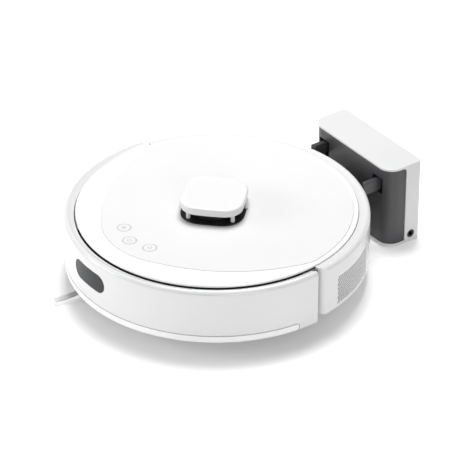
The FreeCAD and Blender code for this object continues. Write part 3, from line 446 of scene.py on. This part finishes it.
# a fin's outline round the roller: radius, and degrees either side of its middle
FIN_PROFILE = ((11.6, -7.0), (19.4, -2.2), (19.7, 0.0), (19.4, 2.2), (11.6, 7.0))
SLEEVE_R = 12.0
SLEEVE_HALF = ROW_HALF + 1
BRISTLE_REACH = (11.8, 19.6)
BRISTLE_R = (0.28, 0.2)
BRISTLE_TUFTS = 40
TUFT_BRISTLES = 7


def roller_point(radius, degrees, x):
    angle = math.radians(degrees)
    return at(x, ROLLER_AXIS[0] + radius * math.cos(angle), ROLLER_AXIS[1] + radius * math.sin(angle))


def row_angle(start, x):
    """The rows are chevrons: they lead at the middle of the roller and trail at its ends."""
    return start + CHEVRON_TRAIL * abs(x) / ROW_HALF


def roller_fins():
    """Three rubber chevron fins on one sleeve."""
    fins = bmesh.new()
    steps = 48
    for row in range(ROW_COUNT):
        start = FIN_START + 360 // ROW_COUNT * row
        columns = []
        for k in range(steps + 1):
            x = -ROW_HALF + 2 * ROW_HALF * k / steps
            angle = row_angle(start, x)
            columns.append([fins.verts.new(roller_point(radius, angle + offset, x))
                            for radius, offset in FIN_PROFILE])
        for a, b in zip(columns, columns[1:]):
            for k in range(len(FIN_PROFILE) - 1):
                fins.faces.new((a[k], b[k], b[k + 1], a[k + 1]))
        fins.faces.new(columns[0])
        fins.faces.new(columns[-1][::-1])
    around = 40
    ends = []
    for x in (-SLEEVE_HALF, SLEEVE_HALF):
        ends.append([fins.verts.new(roller_point(SLEEVE_R, 360 * k / around, x)) for k in range(around)])
    for k in range(around):
        n = (k + 1) % around
        fins.faces.new((ends[0][k], ends[0][n], ends[1][n], ends[1][k]))
    finish_piece("roller_fins", fins, "roller", "brush_rubber", ("roller_blades",))


def roller_bristles():
    """Three chevron rows of bristles between the fins."""
    bristles = bmesh.new()
    for row in range(ROW_COUNT):
        start = BRISTLE_START + 360 // ROW_COUNT * row
        for k in range(BRISTLE_TUFTS):
            x = -ROW_HALF + 2 * ROW_HALF * (k + 0.5) / BRISTLE_TUFTS
            for _ in range(TUFT_BRISTLES):
                root = x + random.uniform(-0.9, 0.9)
                tip = root + random.uniform(-1.0, 1.0)
                angle = row_angle(start, root) + random.uniform(-3, 3)
                lean = random.uniform(-3, 3)
                ends = [roller_point(BRISTLE_REACH[0], angle, root),
                        roller_point(BRISTLE_REACH[1], angle + lean, tip)]
                strand(bristles, ends, [radius * MM for radius in BRISTLE_R], 3)
    finish_piece("roller_bristles", bristles, "roller", "bristle")


SPRING_BEARING = 22.0
SPRING_R = 21.3
SPRING_REACH = 166.6
SPRING_LEAF = 0.6
SPRING_LOW = 58.0
SPRING_HIGH = 66.0
SPRING_HALF_SPAN = math.radians(72.0)


def bumper_leaf_springs():
    """Two bowed leaf springs behind the bumper; on the real robot they flatten as it is pressed, here they
    keep their resting bow.
    """
    mesh = bmesh.new()
    steps = 24
    inner_r = SPRING_R - SPRING_LEAF
    section = ((SPRING_R, SPRING_LOW), (SPRING_R, SPRING_HIGH), (inner_r, SPRING_HIGH), (inner_r, SPRING_LOW))
    for side in (-1, 1):
        turn = math.radians(side * SPRING_BEARING)
        rows = []
        for k in range(steps + 1):
            angle = SPRING_HALF_SPAN * (2 * k / steps - 1)
            row = []
            for radius, z in section:
                x = radius * math.sin(angle)
                y = SPRING_R - SPRING_REACH - radius * math.cos(angle)
                row.append(mesh.verts.new(at(x * math.cos(turn) - y * math.sin(turn),
                                             x * math.sin(turn) + y * math.cos(turn), z)))
            rows.append(row)
        for a, b in zip(rows, rows[1:]):
            for k in range(4):
                mesh.faces.new((a[k], b[k], b[(k + 1) % 4], a[(k + 1) % 4]))
        mesh.faces.new(rows[0])
        mesh.faces.new(rows[-1][::-1])
    springs = finish_piece("bumper_leaf_springs", mesh, "chassis", "steel", ("bumper_springs",), smooth=False)
    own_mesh(springs)


BUTTON_PLACES = {
    "button_spot": (-25.0, -107.0),
    "button_power": (0.0, -116.5),
    "button_home": (25.0, -107.0),
}
BUTTON_TOP = 84.8
PRINT_LIFT = 0.03
PRINT_Z = BUTTON_TOP + PRINT_LIFT
EDGE_RING = (6.5, 6.95)
SYMBOL_RING = (2.1, 2.8)


def flat_ring(mesh, x, y, r_in, r_out, start=0.0, sweep=360.0, steps=40):
    """A printed ring or arc on a button's top."""
    closed = sweep >= 360.0
    count = steps if closed else steps + 1
    rows = []
    for k in range(count):
        angle = math.radians(start + sweep * k / steps)
        rows.append([mesh.verts.new(at(x + r * math.cos(angle), y + r * math.sin(angle), PRINT_Z))
                     for r in (r_in, r_out)])
    for k in range(steps):
        a, b = rows[k], rows[(k + 1) % count]
        mesh.faces.new((a[0], a[1], b[1], b[0]))


def flat_shape(mesh, x, y, points):
    """A printed polygon on a button's top."""
    mesh.faces.new([mesh.verts.new(at(x + u, y + v, PRINT_Z)) for u, v in points])


def button_prints():
    """Each button has a fine printed ring at its edge and a small plain symbol."""
    for name, (x, y) in BUTTON_PLACES.items():
        mesh = bmesh.new()
        flat_ring(mesh, x, y, *EDGE_RING)
        if name == "button_power":
            flat_ring(mesh, x, y, *SYMBOL_RING, 120, 300)
            flat_shape(mesh, x, y, [(-0.35, 0.9), (0.35, 0.9), (0.35, 3.2), (-0.35, 3.2)])
        elif name == "button_home":
            flat_shape(mesh, x, y, [(-3.0, 0.2), (0.0, -2.9), (3.0, 0.2),
                                    (2.1, 0.2), (0.0, -1.9), (-2.1, 0.2)])
            flat_ring(mesh, x, y + 0.4, 1.5, 2.2, 0, 180, 16)
        else:
            flat_ring(mesh, x, y, 0.0001, 1.0, steps=16)
            for k in range(4):
                flat_ring(mesh, x, y, 2.0, 2.8, 90 * k + 12, 66, 8)
        finish_piece(name + "_print", mesh, name, "print_grey", smooth=False)


make_camera()
make_studio()
dress_cad()
exhaust_mesh()
exhaust_shade_sheet()
side_brush_tufts()
roller_fins()
roller_bristles()
bumper_leaf_springs()
button_prints()
